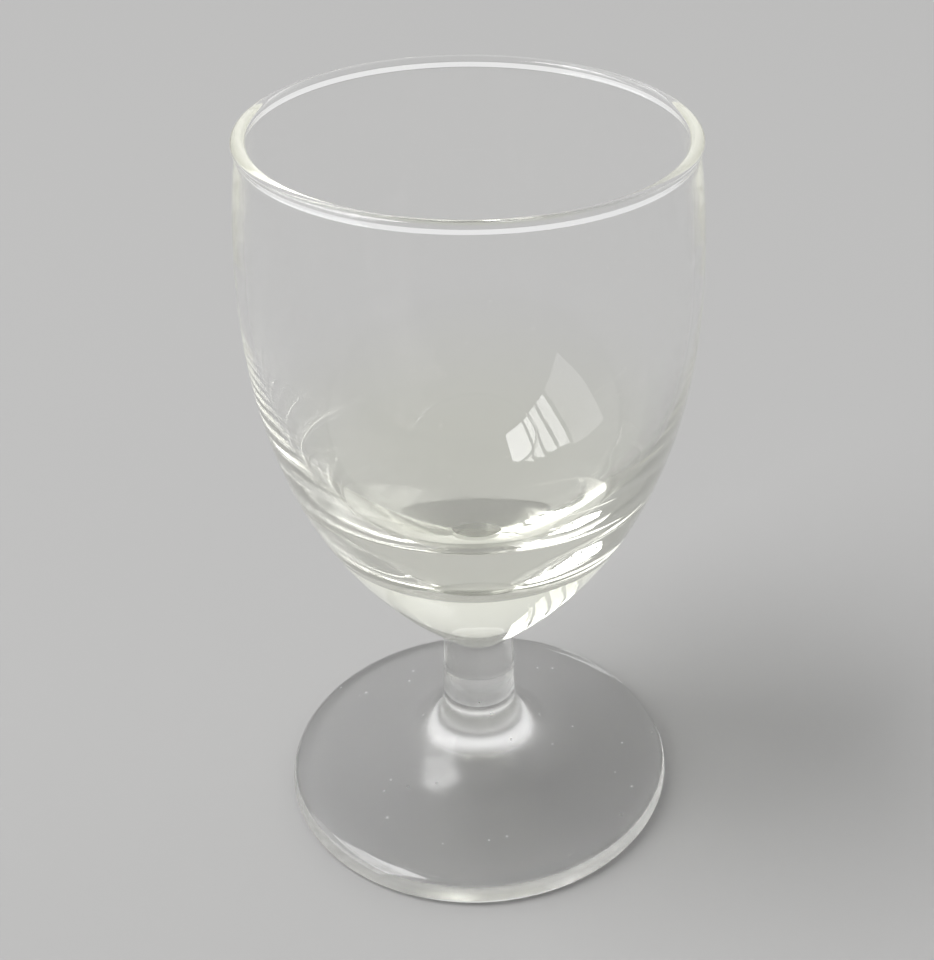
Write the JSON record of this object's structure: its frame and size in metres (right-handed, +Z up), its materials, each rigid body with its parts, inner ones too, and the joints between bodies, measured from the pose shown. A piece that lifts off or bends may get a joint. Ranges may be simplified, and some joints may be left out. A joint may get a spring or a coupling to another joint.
{
  "type": "shot glass",
  "caption": "Small stemmed shot glass with an egg-shaped bowl, a thick solid base, a short stem and a round foot that flares up into it, all in clear glass.",
  "frame": {"origin": "centre of the foot, on the surface that the glass stands on", "axes": "+Z up along the glass's axis of revolution, from foot to rim; X and Y are alike"},
  "size_m": [0.0458, 0.0458, 0.08],
  "materials": {
    "glass": "fire-polished"
  },
  "bodies": {
    "root": {"bowl": "glass", "stem": "glass", "foot": "glass"}
  },
  "joints": []
}
